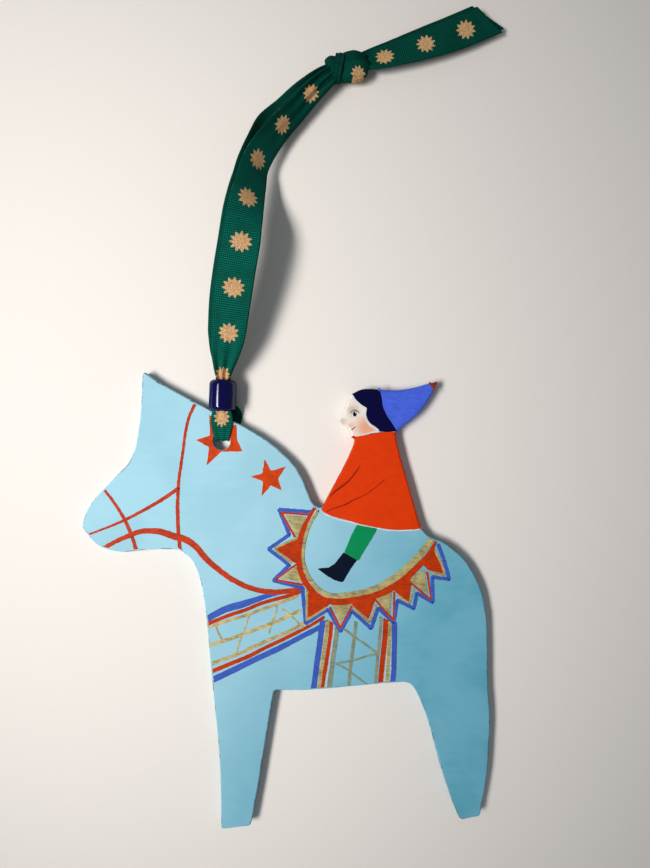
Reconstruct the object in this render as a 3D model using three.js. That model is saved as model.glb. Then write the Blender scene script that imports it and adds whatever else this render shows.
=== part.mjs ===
// Dala horse ornament: a horse with a rider on its back, sawn from one thin board and painted. A printed
// ribbon goes through a hole in the mane, both of its ends go up through a glass tube bead, and an overhand
// knot ties them. The ornament lies on its back. Millimetres: +X is towards the rump, +Y towards the ear,
// +Z out of the painted face.
import * as THREE from "three";

// ---- Driving dimensions -------------------------------------------------------------------------
const BOARD_LENGTH = 110.3; // nose to rump
const BOARD_HEIGHT = 123.9; // hoof to ear tip
const BOARD_THICKNESS = 3;
const HOLE_RADIUS = 2.35;
const BEAD_RADIUS = 3.65;
const BEAD_LENGTH = 8.4;
const BEAD_BORE_RADIUS = 2.3;
const BEAD_ROUNDING = 1.3; // of the outer rim at both ends
const RIBBON_WIDTH = 9;
const RIBBON_THICKNESS = 0.2;
const KNOT_LENGTH = 10.8;
const KNOT_WIDTH = 8.2;
const KNOT_HEIGHT = 6.2;
const HANG_LEAN = THREE.MathUtils.degToRad(2); // towards the rump, as the ribbon leaves the hole

// ---- Clearances ---------------------------------------------------------------------------------
const TABLE_GAP = 0.05; // under the lowest ribbon
const RIBBON_GAP = 0.15; // between the ribbon and what it lies against or runs through
const END_GAP = 0.3; // between two ribbon pieces that meet end to end, and at the knot
const BEAD_GAP = 0.15; // between the bead and the board's edge
const BOARD_LIFT = TABLE_GAP + RIBBON_THICKNESS + RIBBON_GAP + 0.05; // the back strand passes under the board

// ---- The board's outline ------------------------------------------------------------------------
// Drawn at the size that it was designed at, in stretches that meet at corners. A stretch of two points is
// straight.
const DRAWN_LENGTH = 110.3;
const DRAWN_HEIGHT = 123.9;
const DRAWN_HOLE = [-17.5, 43.1];
const STRETCHES = {
  earTip: [[-38.5, 62], [-39, 61]],
  forehead: [
    [-39, 61], [-39.3, 52.9], [-40, 46.1], [-40.9, 41.3], [-43, 36.8], [-44.6, 35.2], [-51.7, 27.7],
    [-53.6, 25], [-55.2, 20.7], [-55.2, 19.6],
  ],
  muzzleAndJaw: [[-55.2, 19.6], [-51.1, 15], [-44.9, 13.1], [-36.8, 13.8], [-29.2, 13.8]],
  chestAndFrontLeg: [
    [-29.2, 13.8], [-25.7, 11], [-23.6, 6.4], [-21.9, -2.8], [-20.3, -20.1], [-18.1, -43.1], [-17.6, -61.9],
  ],
  frontHoof: [[-17.6, -61.9], [-9.8, -60.9]],
  frontLegInside: [[-9.8, -60.9], [-9.4, -59.8], [-3.3, -24.3]],
  bellyAndHindLegInside: [
    [-3.3, -24.3], [6.4, -24.2], [31.3, -22.1], [32.9, -22.3], [34.3, -23.3], [38.1, -31.7], [42.4, -47.1],
    [46.6, -58.5], [47.3, -59.3],
  ],
  hindHoof: [[47.3, -59.3], [52.4, -58.3]],
  hindLegAndRump: [
    [52.4, -58.3], [54.4, -45.8], [55.1, -30.9], [54.6, -24.2], [53.5, 0.2], [48.9, 10.2], [43.5, 15.2],
    [38.3, 17.5],
  ],
  coatHem: [[38.3, 17.5], [36.4, 19.6]],
  coatBack: [[36.4, 19.6], [29.6, 45], [29.8, 45.7]],
  capUnderside: [[29.8, 45.7], [36.2, 51], [40.4, 57.7], [41, 59.4]],
  capTop: [[41, 59.4], [30.8, 56.9], [22.7, 57.3], [20.5, 57.2], [17.5, 55.8]],
  riderFace: [[17.5, 55.8], [16.7, 53.9], [16.1, 52.2], [15.5, 49.9], [14.3, 48.4]],
  riderChin: [[14.3, 48.4], [15.7, 47.5], [17, 46.4], [17.3, 45.6], [17.8, 44.5]],
  coatFront: [[17.8, 44.5], [18.5, 43.4], [9.6, 24.9]],
  mane: [[9.6, 24.9], [7.5, 25.8], [2.9, 35.6], [-7.1, 44.6], [-20.6, 51.5], [-36.3, 60.2], [-38.5, 62]],
};
const STEPS_PER_POINT = 3;

function onBoard([x, y]) {
  return new THREE.Vector3((x * BOARD_LENGTH) / DRAWN_LENGTH, (y * BOARD_HEIGHT) / DRAWN_HEIGHT, 0);
}

function boardOutline() {
  return Object.values(STRETCHES).flatMap((stretch) => {
    const steps = stretch.length === 2 ? 1 : stretch.length * STEPS_PER_POINT;
    const curve = new THREE.CatmullRomCurve3(stretch.map(onBoard), false, "centripetal");
    const points = curve.getPoints(steps).slice(0, -1);
    return points.map(({ x, y }) => new THREE.Vector2(x, y));
  });
}

const outline = boardOutline();
const outlineMiddle = new THREE.Box2().setFromPoints(outline).getCenter(new THREE.Vector2());
const hole = new THREE.Vector2().copy(onBoard(DRAWN_HOLE));

function boardGeometry() {
  const shape = new THREE.Shape(outline);
  shape.holes.push(new THREE.Path().absarc(hole.x, hole.y, HOLE_RADIUS, 0, 2 * Math.PI, true));
  return new THREE.ExtrudeGeometry(shape, { depth: BOARD_THICKNESS, bevelEnabled: false, curveSegments: 14 });
}

// ---- The ribbon's own line ----------------------------------------------------------------------
// From here on, lengths go across and along the ribbon's line: it starts at the hole and leans by HANG_LEAN.
const ROOM_STEPS = 40;

function acrossAndAlong(point) {
  return point.clone().rotateAround(hole, HANG_LEAN).sub(hole);
}

// How far along the line the board reaches, for a piece of that half width whose end stands back by
// recess(across).
function boardReach(halfWidth, recess) {
  let reach = 0;
  outline.forEach((corner, i) => {
    const [from, to] = [corner, outline[(i + 1) % outline.length]].map(acrossAndAlong);
    for (let k = 0; k <= ROOM_STEPS; k += 1) {
      const at = from.clone().lerp(to, k / ROOM_STEPS);
      if (Math.abs(at.x) <= halfWidth) reach = Math.max(reach, at.y - recess(Math.abs(at.x)));
    }
  });
  return reach;
}

// ---- The ribbon's width in the hole and in the bead's bore --------------------------------------
// The widest strip that a round opening takes at a distance from its axis.
function widthInside(radius, offset) {
  const halfWidth = Math.sqrt((radius - RIBBON_GAP) ** 2 - (offset + RIBBON_THICKNESS / 2) ** 2);
  return Math.min(RIBBON_WIDTH, 2 * halfWidth);
}

const strandSplit = 0.4 * BEAD_BORE_RADIUS; // each strand's height from the bore's axis
const widthInBore = widthInside(BEAD_BORE_RADIUS, strandSplit);
const dropInHole = 0.38 * HOLE_RADIUS; // the ribbon hangs on the hole's upper rim
const widthInHole = widthInside(HOLE_RADIUS, dropInHole);
const loopWidth = Math.min(widthInBore, widthInHole) - 2 * RIBBON_GAP;

// How far along its line the ribbon comes up round the board's edge.
const ribbonRise = boardReach(loopWidth / 2 + RIBBON_GAP, () => 0) + RIBBON_GAP + RIBBON_THICKNESS / 2;

// ---- Glass tube bead ----------------------------------------------------------------------------
const beadWall = BEAD_RADIUS - BEAD_BORE_RADIUS;
const beadRounding = Math.min(BEAD_ROUNDING, 0.95 * beadWall);
const BEAD_ARC_STEPS = 5;
const BEAD_FACETS = 36;

function beadEndRecess(across) {
  const past = across - (BEAD_RADIUS - beadRounding);
  return past <= 0 ? 0 : beadRounding - Math.sqrt(Math.max(0, beadRounding ** 2 - past ** 2));
}

// The bead stands clear of the board's edge and of the ribbon that comes up round it.
const beadFoot = Math.max(
  boardReach(BEAD_RADIUS, beadEndRecess) + BEAD_GAP,
  ribbonRise + RIBBON_THICKNESS / 2 + RIBBON_GAP,
);
const beadMiddle = beadFoot + BEAD_LENGTH / 2;
const beadTop = beadFoot + BEAD_LENGTH;

function beadGeometry() {
  const half = BEAD_LENGTH / 2;
  const rim = new THREE.Vector2(BEAD_RADIUS - beadRounding, half - beadRounding);
  const onRounding = (turn) => [rim.x + beadRounding * Math.cos(turn), beadRounding * Math.sin(turn)];
  const profile = [new THREE.Vector2(BEAD_BORE_RADIUS, -half)];
  for (const [start, end] of [[-Math.PI / 2, -rim.y], [0, rim.y]]) {
    for (let k = 0; k <= BEAD_ARC_STEPS; k += 1) {
      const [radius, along] = onRounding(start + ((Math.PI / 2) * k) / BEAD_ARC_STEPS);
      profile.push(new THREE.Vector2(radius, end + along));
    }
  }
  profile.push(new THREE.Vector2(BEAD_BORE_RADIUS, half), new THREE.Vector2(BEAD_BORE_RADIUS, -half));
  return new THREE.LatheGeometry(profile, BEAD_FACETS);
}

// ---- Ribbon -------------------------------------------------------------------------------------
// A closed strip of the ribbon's thickness through stations, each with its place, its width and the way that
// its width lies.
function ribbonGeometry(stations) {
  const corners = [];
  stations.forEach(({ at, width, side }, i) => {
    const before = stations[Math.max(i - 1, 0)].at;
    const after = stations[Math.min(i + 1, stations.length - 1)].at;
    const along = after.clone().sub(before).normalize();
    const across = side.clone().addScaledVector(along, -side.dot(along)).normalize();
    const up = across.clone().cross(along);
    for (const [a, b] of [[-1, -1], [1, -1], [1, 1], [-1, 1]]) {
      corners.push(
        at
          .clone()
          .addScaledVector(across, (a * width) / 2)
          .addScaledVector(up, (b * RIBBON_THICKNESS) / 2),
      );
    }
  });
  const faces = [0, 1, 2, 0, 2, 3];
  for (let i = 0; i + 1 < stations.length; i += 1) {
    for (let k = 0; k < 4; k += 1) {
      const [a, b] = [4 * i + k, 4 * i + ((k + 1) % 4)];
      faces.push(a, a + 4, b, b, a + 4, b + 4);
    }
  }
  const last = 4 * (stations.length - 1);
  faces.push(last, last + 2, last + 1, last, last + 3, last + 2);
  const geometry = new THREE.BufferGeometry().setFromPoints(corners);
  geometry.setIndex(faces);
  geometry.computeVertexNormals();
  return geometry;
}

const boardTop = BOARD_LIFT + BOARD_THICKNESS;
const strandPair = (RIBBON_THICKNESS + RIBBON_GAP) / 2; // each strand's height once they lie on each other

// Down the painted face from the bead, through the hole, and back up behind the board and round its edge.
function loopStations() {
  const onFace = boardTop + RIBBON_GAP + RIBBON_THICKNESS / 2;
  const underBoard = TABLE_GAP + RIBBON_THICKNESS / 2;
  const rim = Math.sqrt(HOLE_RADIUS ** 2 - (loopWidth / 2) ** 2);
  const front = BEAD_RADIUS + strandSplit;
  const back = BEAD_RADIUS - strandSplit;
  const route = [
    [beadMiddle - END_GAP / 2, front],
    [beadFoot + 0.6, front],
    [ribbonRise - 0.6, Math.max(front - 0.35, onFace)],
    [0.6 * ribbonRise, onFace],
    [rim + 0.3, onFace],
    [rim - 0.35, boardTop + 0.05],
    [dropInHole, boardTop - 0.25 * BOARD_THICKNESS],
    [dropInHole, BOARD_LIFT + 0.25 * BOARD_THICKNESS],
    [rim - 0.35, BOARD_LIFT - 0.05],
    [rim + 0.3, underBoard],
    [ribbonRise - 0.12, underBoard],
    [ribbonRise, underBoard + 0.15],
    [ribbonRise, 0.5 * back],
    [ribbonRise + 0.02, back - 0.35],
    [beadFoot + 0.1, back - 0.05],
    [beadFoot + 0.9, back],
    [beadMiddle - END_GAP / 2, back],
  ];
  return route.map(([along, height]) => ({
    at: new THREE.Vector3(0, along, height),
    width: loopWidth,
    side: new THREE.Vector3(-1, 0, 0),
  }));
}

// The middle of both strands, above the bead: across, along from the bead's upper end, height above the
// table, and the strands' width as a share of the ribbon's. It arches up from the bead, comes down and runs
// low to the knot on the table.
const STRAND_ROUTE = [
  [0.1, 1.0, 4.3, 0.5],
  [0.6, 4.2, 6.0, 0.7],
  [1.0, 7.0, 7.6, 0.85],
  [1.8, 11.7, 9.2, 1],
  [2.7, 19.9, 11.3, 1],
  [3.7, 27.4, 12.6, 1],
  [4.7, 34.5, 13.0, 1],
  [5.1, 39.9, 12.3, 1],
  [5.5, 45.4, 10.6, 1],
  [6.2, 51.4, 8.6, 1],
  [7.0, 56.9, 7.3, 1],
  [8.9, 61.3, 6.9, 1],
  [12.6, 67.0, 6.3, 1],
  [16.8, 72.1, 5.6, 1],
  [21.0, 77.6, 4.9, 1],
];
const KNOT_PLACE = [30.2, 85.6];
const TAIL_ROUTE = [
  [43.6, 90.0, 3.0, 1],
  [51.4, 92.9, 2.8, 1],
  [60.0, 96.4, 2.5, 1],
  [68.8, 100.6, 2.2, 1],
];
const STRAND_STEPS = 64;
const TAIL_STEPS = 20;

const knotMiddle = new THREE.Vector3(KNOT_PLACE[0], beadTop + KNOT_PLACE[1], KNOT_HEIGHT / 2 + TABLE_GAP);

function routePoint([across, along, height, share]) {
  return { at: new THREE.Vector3(across, beadTop + along, height), width: share * RIBBON_WIDTH };
}

// The place just clear of the knot, on the side of a route's point.
function besideKnot(neighbour) {
  const away = neighbour.at.clone().sub(knotMiddle).setZ(0).setLength(KNOT_LENGTH / 2 + END_GAP);
  return { at: knotMiddle.clone().add(away), width: RIBBON_WIDTH };
}

// Stations of one strand: which is 1 for the front strand and -1 for the back one.
function strandStations(points, steps, which, splitAt) {
  const spine = new THREE.CatmullRomCurve3(points.map(({ at }) => at));
  const level = new THREE.Vector3(0, 0, 1);
  const stations = [];
  for (let i = 0; i <= steps; i += 1) {
    const share = (i / steps) * (points.length - 1);
    const low = Math.min(Math.floor(share), points.length - 2);
    const width = THREE.MathUtils.lerp(points[low].width, points[low + 1].width, share - low);
    const split = splitAt(share);
    const at = spine.getPoint(i / steps);
    const side = spine.getTangent(i / steps).cross(level).negate();
    at.z += which * split;
    stations.push({ at, width, side });
  }
  return stations;
}

function mainStrand(which) {
  const inBore = [beadMiddle + END_GAP / 2, beadTop - 0.8].map((along) => ({
    at: new THREE.Vector3(0, along, BEAD_RADIUS),
    width: widthInBore,
  }));
  const route = STRAND_ROUTE.map(routePoint);
  route[0].width = Math.min(route[0].width, widthInBore);
  const points = [...inBore, ...route, besideKnot(route.at(-1))];
  const { lerp, smoothstep } = THREE.MathUtils;
  const splitAt = (share) => lerp(strandSplit, strandPair, smoothstep(share, 1, 3));
  return ribbonGeometry(strandStations(points, STRAND_STEPS, which, splitAt));
}

function tailStrand(which) {
  const route = TAIL_ROUTE.map(routePoint);
  const points = [besideKnot(route[0]), ...route];
  return ribbonGeometry(strandStations(points, TAIL_STEPS, which, () => strandPair));
}

function knotGeometry() {
  const [before, after] = [STRAND_ROUTE.at(-1), TAIL_ROUTE[0]];
  const turn = Math.atan2(after[1] - before[1], after[0] - before[0]);
  return new THREE.SphereGeometry(0.5, 24, 16)
    .scale(KNOT_LENGTH, KNOT_WIDTH, KNOT_HEIGHT)
    .rotateZ(turn)
    .translate(knotMiddle.x, knotMiddle.y, knotMiddle.z);
}

// ---- Assembly -----------------------------------------------------------------------------------
const paintedBoard = new THREE.MeshStandardMaterial({ color: 0x9fd0de, roughness: 0.75, metalness: 0 });
const cobaltGlass = new THREE.MeshStandardMaterial({ color: 0x0a0a4a, roughness: 0.08, metalness: 0 });
const greenCotton = new THREE.MeshStandardMaterial({ color: 0x0e5046, roughness: 0.9, metalness: 0 });

function piece(name, geometry, material) {
  const mesh = new THREE.Mesh(geometry, material);
  mesh.name = name;
  return mesh;
}

const board = piece("horse_board", boardGeometry(), paintedBoard);
board.position.z = BOARD_LIFT;

const bead = piece("glass_bead", beadGeometry(), cobaltGlass);
bead.position.set(0, beadMiddle, BEAD_RADIUS);

const hanging = new THREE.Group();
hanging.position.set(hole.x, hole.y, 0);
hanging.rotation.z = -HANG_LEAN;
hanging.add(
  bead,
  piece("ribbon_loop", ribbonGeometry(loopStations()), greenCotton),
  piece("ribbon_front_strand", mainStrand(1), greenCotton),
  piece("ribbon_back_strand", mainStrand(-1), greenCotton),
  piece("ribbon_knot", knotGeometry(), greenCotton),
  piece("ribbon_front_tail", tailStrand(1), greenCotton),
  piece("ribbon_back_tail", tailStrand(-1), greenCotton),
);

const ornament = new THREE.Group();
ornament.position.set(-outlineMiddle.x, -outlineMiddle.y, 0);
ornament.add(board, hanging);

export default ornament;
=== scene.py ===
# %% [markdown]
# # A dala horse ornament
# The real thing is a flat horse with a rider on its back, sawn from one thin board and painted by hand. It
# hangs on a green ribbon with gold stars. Both ends of the ribbon run through a tube of dark blue glass and
# are knotted. The frame from the CAD step gives every piece its place and size. Here each piece gets the
# shape and the finish that the eye expects: paint with an edge, glass that shines, cloth that curls.

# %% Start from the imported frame
import math

import bpy
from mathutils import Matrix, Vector, geometry, kdtree, noise


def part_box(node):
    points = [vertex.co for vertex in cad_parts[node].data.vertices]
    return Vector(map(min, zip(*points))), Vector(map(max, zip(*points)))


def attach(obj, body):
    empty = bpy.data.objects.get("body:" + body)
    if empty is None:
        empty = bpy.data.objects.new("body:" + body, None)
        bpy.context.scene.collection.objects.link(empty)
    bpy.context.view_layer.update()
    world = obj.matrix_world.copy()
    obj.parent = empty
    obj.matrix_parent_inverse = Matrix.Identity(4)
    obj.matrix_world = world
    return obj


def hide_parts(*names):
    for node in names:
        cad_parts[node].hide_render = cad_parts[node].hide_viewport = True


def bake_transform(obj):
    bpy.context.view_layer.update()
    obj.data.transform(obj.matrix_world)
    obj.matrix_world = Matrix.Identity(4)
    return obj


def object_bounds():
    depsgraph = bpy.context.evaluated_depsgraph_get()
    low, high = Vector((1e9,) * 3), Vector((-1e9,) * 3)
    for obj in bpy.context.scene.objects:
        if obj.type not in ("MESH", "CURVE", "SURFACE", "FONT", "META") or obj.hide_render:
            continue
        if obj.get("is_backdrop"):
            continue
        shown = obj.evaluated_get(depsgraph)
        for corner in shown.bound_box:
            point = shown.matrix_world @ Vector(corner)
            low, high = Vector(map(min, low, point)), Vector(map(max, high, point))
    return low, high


MM = 0.001
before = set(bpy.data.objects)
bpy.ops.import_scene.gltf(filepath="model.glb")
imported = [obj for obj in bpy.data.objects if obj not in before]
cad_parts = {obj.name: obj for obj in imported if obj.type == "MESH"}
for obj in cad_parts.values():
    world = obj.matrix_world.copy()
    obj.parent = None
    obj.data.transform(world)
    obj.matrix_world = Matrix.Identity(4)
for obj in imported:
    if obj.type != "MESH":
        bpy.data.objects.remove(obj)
sizes = {"frame": [list(corner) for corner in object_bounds()]}
scene = bpy.context.scene

board_low, board_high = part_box("horse_board")
bead_low, bead_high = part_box("glass_bead")
FACE = board_high.z / MM  # the painted face's height above the table, in millimetres
BACK = board_low.z / MM
print("board", [round(v / MM, 2) for v in board_high - board_low], "face at", round(FACE, 2), "mm")

# %% [markdown]
# ## Camera
# The ornament lies on a sheet of paper and is seen from straight above, from about the distance of a hand-
# held telephone. A camera that close shows a little of the board's sawn edge all round, and the part of the
# ribbon that rises from the paper looks wider. The lens is set from the width of paper that the view takes
# in.

# %% Camera straight above
VIEW_CENTRE = (10.54, 45.0)
VIEW_HEIGHT = 234.6
CAMERA_DISTANCE = 176.0

camera_data = bpy.data.cameras.new("camera")
camera_data.sensor_fit = "VERTICAL"
camera_data.sensor_height = 36
camera_data.lens = 36 * CAMERA_DISTANCE / VIEW_HEIGHT
camera_data.clip_start = 0.005
camera = bpy.data.objects.new("camera", camera_data)
camera.location = (VIEW_CENTRE[0] * MM, VIEW_CENTRE[1] * MM, (FACE + CAMERA_DISTANCE) * MM)
scene.collection.objects.link(camera)
scene.camera = camera
print("lens", round(camera_data.lens, 1), "mm")

# %% [markdown]
# ## Small helpers
# Most pieces are made from plain lists of points and faces, so three helpers do the work: one turns such
# lists into an object, one runs a smooth line through a few points, and one gives a repeatable random
# wobble. Blender's noise always gives the same value at the same place, so the ornament comes out the same
# each time.


# %% Helpers for meshes and lines
def make_piece(name, points, faces, finish, smooth=True):
    """An object from points in millimetres."""
    mesh = bpy.data.meshes.new(name)
    mesh.from_pydata([Vector(p) * MM for p in points], [], faces)
    mesh.validate()
    mesh.update()
    mesh.materials.append(finish)
    for polygon in mesh.polygons:
        polygon.use_smooth = smooth
    piece = bpy.data.objects.new(name, mesh)
    scene.collection.objects.link(piece)
    return piece


def smooth_line(points, spacing):
    """Points about that far apart on a curve through the given ones. Extra numbers, such as widths, go
    along."""
    points = [Vector(p) for p in points]
    if len(points) == 2:
        points = [points[0], (points[0] + points[1]) / 2, points[1]]
    ends = [2 * points[0] - points[1], *points, 2 * points[-1] - points[-2]]
    line = []
    for a, b, c, d in zip(ends, ends[1:], ends[2:], ends[3:]):
        steps = max(1, round((c - b).length / spacing))
        for k in range(steps):
            t = k / steps
            line.append(0.5 * (2 * b + (c - a) * t + (2 * a - 5 * b + 4 * c - d) * t * t
                               + (3 * b - 3 * c + d - a) * t ** 3))
    return [*line, points[-1]]


def wobble(x, y, scale, seed=0.0):
    """A smooth random number between about -1 and 1, at a place."""
    return noise.noise(Vector((x / scale, y / scale, seed)))

# %% [markdown]
# ## Finishes from numbers
# A finish is a small sum: a colour, plus a little more light paint here, minus a worn spot there. Written
# as node links that sum is hard to read, so a value on its way through the nodes is wrapped in a class that
# knows plus, minus and times. Each sign adds one Math node. Colours are mixed with a Mix node, because a
# Math node would turn them grey.


# %% A value in a finish, and the finish itself
class Value:
    def __init__(self, finish, socket):
        self.finish, self.socket = finish, socket

    def math(self, operation, *others):
        return self.finish.math(operation, self, *others)

    def __add__(self, other):
        return self.math("ADD", other)

    def __sub__(self, other):
        return self.math("SUBTRACT", other)

    def __rsub__(self, other):
        return self.finish.math("SUBTRACT", other, self)

    def __mul__(self, other):
        return self.math("MULTIPLY", other)

    def __truediv__(self, other):
        return self.math("DIVIDE", other)

    __radd__, __rmul__ = __add__, __mul__

    def step(self, low, high):
        """0 up to low, 1 from high on, and smooth between them."""
        inputs = {"Value": self, "From Min": low, "From Max": high}
        return self.finish.add("ShaderNodeMapRange", {"interpolation_type": "SMOOTHSTEP"}, inputs)


class Finish:
    def __init__(self, name):
        self.material = bpy.data.materials.new(name)
        self.material.use_nodes = True
        self.tree = self.material.node_tree
        self.tree.nodes.clear()
        self.surface = self.tree.nodes.new("ShaderNodeBsdfPrincipled")
        output = self.tree.nodes.new("ShaderNodeOutputMaterial")
        self.tree.links.new(self.surface.outputs[0], output.inputs[0])

    def feed(self, socket, value):
        if isinstance(value, Value):
            self.tree.links.new(value.socket, socket)
        else:
            socket.default_value = value

    def add(self, kind, settings=None, inputs=None, output=0):
        node = self.tree.nodes.new(kind)
        for key, value in (settings or {}).items():
            setattr(node, key, value)
        for key, value in (inputs or {}).items():
            self.feed(node.inputs[key], value)
        return Value(self, node.outputs[output])

    def math(self, operation, *values):
        return self.add("ShaderNodeMath", {"operation": operation}, dict(enumerate(values)))

    def mix(self, factor, first, second):
        return self.add("ShaderNodeMix", {"data_type": "RGBA"}, {0: factor, 6: first, 7: second}, 2)

    def place(self, stretch=(1, 1, 1)):
        """Where a point is on the piece, in millimetres."""
        here = self.add("ShaderNodeTexCoord", output="Object")
        stretched = [s / MM for s in stretch]
        return self.add("ShaderNodeVectorMath", {"operation": "MULTIPLY"}, {0: here, 1: stretched})

    def noise(self, size, stretch=(1, 1, 1), detail=3.0, place=None):
        """A cloudy pattern with clouds of that size in millimetres. It is about 0.5 on average."""
        inputs = {"Vector": place or self.place(stretch), "Scale": 1 / size, "Detail": detail}
        return self.add("ShaderNodeTexNoise", inputs=inputs)

    def bump(self, height, distance):
        """The surface's direction, as if it rose by distance millimetres where height is 1."""
        values = {"Height": height, "Distance": distance * MM}
        return self.add("ShaderNodeBump", inputs=values, output="Normal")

    def done(self, **sockets):
        for key, value in sockets.items():
            self.feed(self.surface.inputs[key.replace("_", " ")], value)
        return self.material


def colour(red, green, blue):
    return (red, green, blue, 1.0)


# %% [markdown]
# ## Paint
# The board has a matt, chalky light blue coat, brushed on by hand: broad strokes show as slightly lighter
# and darker streaks, and the wood's grain lifts it a little. The tack and the rider are painted over it
# with thicker craft paint. That paint ends in an edge that catches light, and it is thinner where the brush
# ran dry, so the coat below shows through. One function makes all of these, with the coat below as a second
# colour.


# %% Paint finishes
def paint_finish(name, body, below=None, cover=1.0, streak=(0.35, 1.6), rough=0.55, coat=0.0, vary=0.22):
    """Body colour over the colour below. Cover is how much of it the paint hides, and streak the brush
    marks' size."""
    finish = Finish(name)
    clouds = finish.noise(2.2, (1, 1, 1), 4.0)
    brush = finish.noise(1.0, (1 / streak[1], 1 / streak[0], 1), 3.0)
    light = [min(1.0, c * (1 + vary)) for c in body[:3]] + [1.0]
    dark = [c * (1 - vary) for c in body[:3]] + [1.0]
    shade = finish.mix((0.5 * clouds + 0.5 * brush).step(0.32, 0.68), dark, light)
    thick = 1.0
    if below:
        speckle = finish.noise(0.28, (1 / streak[1], 1, 1), 4.0)
        thick = (0.55 * speckle + 0.45 * brush).step(0.62 - 0.45 * cover, 0.74 - 0.45 * cover)
        shade = finish.mix(thick, below, shade)
    relief = 0.7 * brush + 0.3 * clouds
    return finish.done(Base_Color=shade, Roughness=(rough + 0.16) - 0.3 * brush, Coat_Weight=coat,
                       Normal=finish.bump(relief, 0.05), Coat_Roughness=0.25, Specular_IOR_Level=0.08)


def board_finish(name="light_blue_brushed_paint", rubbed=0.0):
    """The blue coat. Rubbed is how much of an edge is scuffed to dark wood and thin paint."""
    finish = Finish(name)
    strokes = finish.noise(1.3, (0.2, 1, 1), 3.0)
    patches = finish.noise(17.0, (1, 1, 1), 3.0)
    grain = finish.noise(0.5, (0.05, 1, 1), 4.0)
    dust = finish.noise(0.22, (1, 1, 1), 2.0)
    tone = 0.8 * patches + 0.13 * strokes + 0.07 * grain
    # Painted shade: the blue is lighter at the head and darker towards the rump and the lower edge, for the
    # light falling off away from the lamp on the left.
    lit_head_end = finish.mix(tone.step(0.38, 0.62), colour(0.320, 0.585, 0.695), colour(0.360, 0.635, 0.745))
    shaded_rump_end = finish.mix(tone.step(0.38, 0.62), colour(0.100, 0.375, 0.500), colour(0.160, 0.440, 0.575))
    across = finish.add("ShaderNodeSeparateXYZ", inputs={0: finish.place()}, output="X")
    up = Value(finish, across.socket.node.outputs["Y"])
    shade_towards_rump = across - 0.6 * up + 14.0 * (patches - 0.5)
    shade = finish.mix(shade_towards_rump.step(-25, 55), lit_head_end, shaded_rump_end)
    pits = dust.step(0.66, 0.74) * grain.step(0.5, 0.6)
    shade = finish.mix(0.25 * pits, shade, colour(0.55, 0.68, 0.72))
    if rubbed:
        worn = 0.5 * finish.noise(1.4, detail=4.0) + 0.5 * finish.noise(5.0)
        bare = worn.step(0.58 - rubbed, 0.66 - rubbed)
        scuffed = finish.mix(dust.step(0.4, 0.6), colour(0.10, 0.20, 0.26), colour(0.19, 0.17, 0.13))
        shade = finish.mix(bare * 0.75, shade, scuffed)
    relief = 0.5 * grain + 0.35 * strokes + 0.15 * dust
    return finish.done(Base_Color=shade, Roughness=0.78 - 0.2 * strokes, Normal=finish.bump(relief, 0.06),
                       Specular_IOR_Level=0.2)


BLUE_COAT = colour(0.28, 0.54, 0.65)
light_blue = board_finish()
rubbed_edge = board_finish("rubbed_blue_edge", rubbed=0.08)
tack_red = paint_finish("tack_red_paint", colour(0.47, 0.040, 0.010), BLUE_COAT, 1.06)
star_red = paint_finish("star_red_paint", colour(0.55, 0.046, 0.003), BLUE_COAT, 1.15, streak=(0.6, 0.8))
saddle_red = paint_finish("saddle_red_paint", colour(0.48, 0.036, 0.002), BLUE_COAT, 1.15)
strap_blue = paint_finish("strap_blue_paint", colour(0.045, 0.105, 0.45), BLUE_COAT, 1.1, vary=0.15)
gold = paint_finish("gold_paint", colour(0.38, 0.33, 0.145), colour(0.24, 0.22, 0.12), 1.0,
                    rough=0.4, vary=0.4)
thin_gold = paint_finish("thin_gold_paint", colour(0.47, 0.37, 0.16), BLUE_COAT, 1.05, rough=0.4, vary=0.4)
under_coat = paint_finish("pale_under_coat", colour(0.40, 0.58, 0.65), BLUE_COAT, 1.0, vary=0.08)
olive = paint_finish("olive_paint", colour(0.24, 0.28, 0.19), BLUE_COAT, 0.98)
primer_white = paint_finish("primer_white_paint", colour(0.66, 0.72, 0.72), BLUE_COAT, 1.05, vary=0.08)
coat_orange = paint_finish("coat_orange_paint", colour(0.72, 0.041, 0.0005), streak=(0.8, 2.4), vary=0.05)
fold_red = paint_finish("fold_red_paint", colour(0.30, 0.015, 0.001), colour(0.55, 0.036, 0.001), 1.1)
leg_green = paint_finish("leg_green_paint", colour(0.0003, 0.250, 0.082), streak=(0.8, 1.4), vary=0.06)
boot_navy = paint_finish("boot_navy_paint", colour(0.0005, 0.004, 0.017), rough=0.5)
hair_navy = paint_finish("hair_navy_paint", colour(0.0002, 0.0002, 0.036), rough=0.5)
lid_brown = paint_finish("lid_brown_paint", colour(0.20, 0.12, 0.07))
cap_blue = paint_finish("cap_blue_paint", colour(0.062, 0.128, 0.70), streak=(0.6, 1.8), vary=0.14)
tip_red = paint_finish("tip_red_paint", colour(0.28, 0.034, 0.009))


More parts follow.
